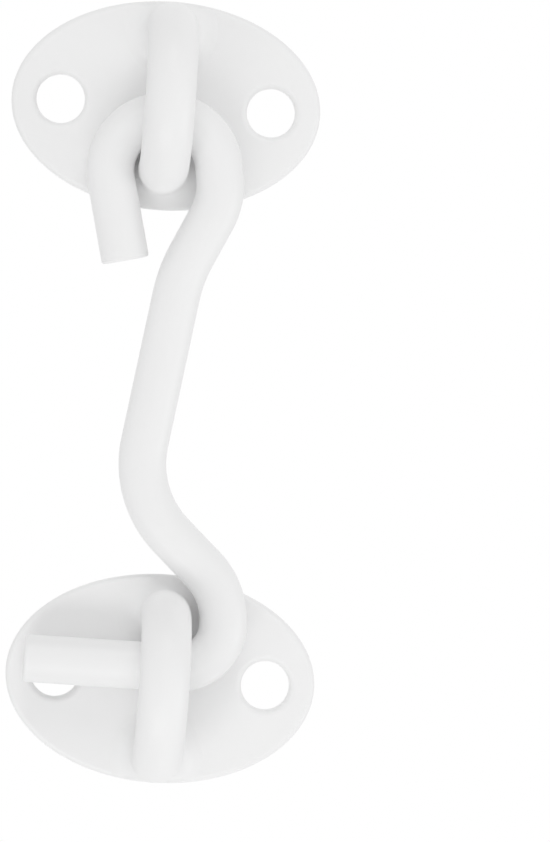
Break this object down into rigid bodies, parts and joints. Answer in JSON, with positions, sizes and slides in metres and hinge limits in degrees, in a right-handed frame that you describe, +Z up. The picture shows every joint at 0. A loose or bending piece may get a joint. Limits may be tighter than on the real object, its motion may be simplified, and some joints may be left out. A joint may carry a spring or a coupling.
{
  "type": "hook and eye latch",
  "caption": "White wire hook that hangs from a wire eye on an oval screw plate and slips its stub end behind the wire eye of a matching plate.",
  "frame": {"origin": "centre of the pivot plate's back face, which lies on the wall or door", "axes": "+X to the right seen from the front, +Y into the wall, +Z up, so the pivot plate is above the catch plate"},
  "size_m": [0.0309, 0.0127, 0.0707],
  "materials": {
    "white_powder_coat": "satin white powder coat on steel"
  },
  "bodies": {
    "mounted_plates": {"pivot_plate": "white_powder_coat", "pivot_staple": "white_powder_coat", "catch_plate": "white_powder_coat", "catch_staple": "white_powder_coat"},
    "swinging_hook": {"hook": "white_powder_coat"}
  },
  "joints": [
    {"name": "hook_swing", "type": "hinge", "parent": "mounted_plates", "child": "swinging_hook", "pos_m": [0, -0.0041, -0.00585], "axis": [0, -1, 0], "range_deg": [0, 140]}
  ]
}
